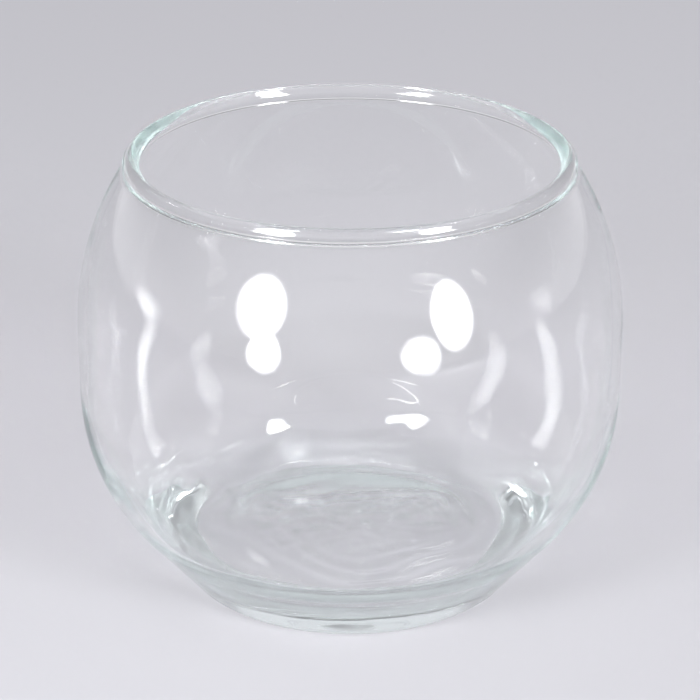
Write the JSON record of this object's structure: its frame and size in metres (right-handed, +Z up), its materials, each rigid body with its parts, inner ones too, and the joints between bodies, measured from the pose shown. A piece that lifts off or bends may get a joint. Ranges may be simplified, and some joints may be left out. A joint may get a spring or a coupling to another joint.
{
  "type": "rose bowl vase",
  "caption": "Round-bellied clear glass rose bowl with a wide mouth, a melted-round rim and a thick base, to hold water and short-stemmed flowers.",
  "frame": {"origin": "on the table, at the centre of the ring that the bowl stands on", "axes": "+Z up along the axis that the bowl is round about; X and Y are alike"},
  "size_m": [0.1142, 0.1142, 0.0937],
  "materials": {
    "clear_glass": "clear soda-lime glass, smooth as blown, faintly blue-green where it is thick"
  },
  "bodies": {
    "root": {"glass_bowl": "clear_glass"}
  },
  "joints": []
}
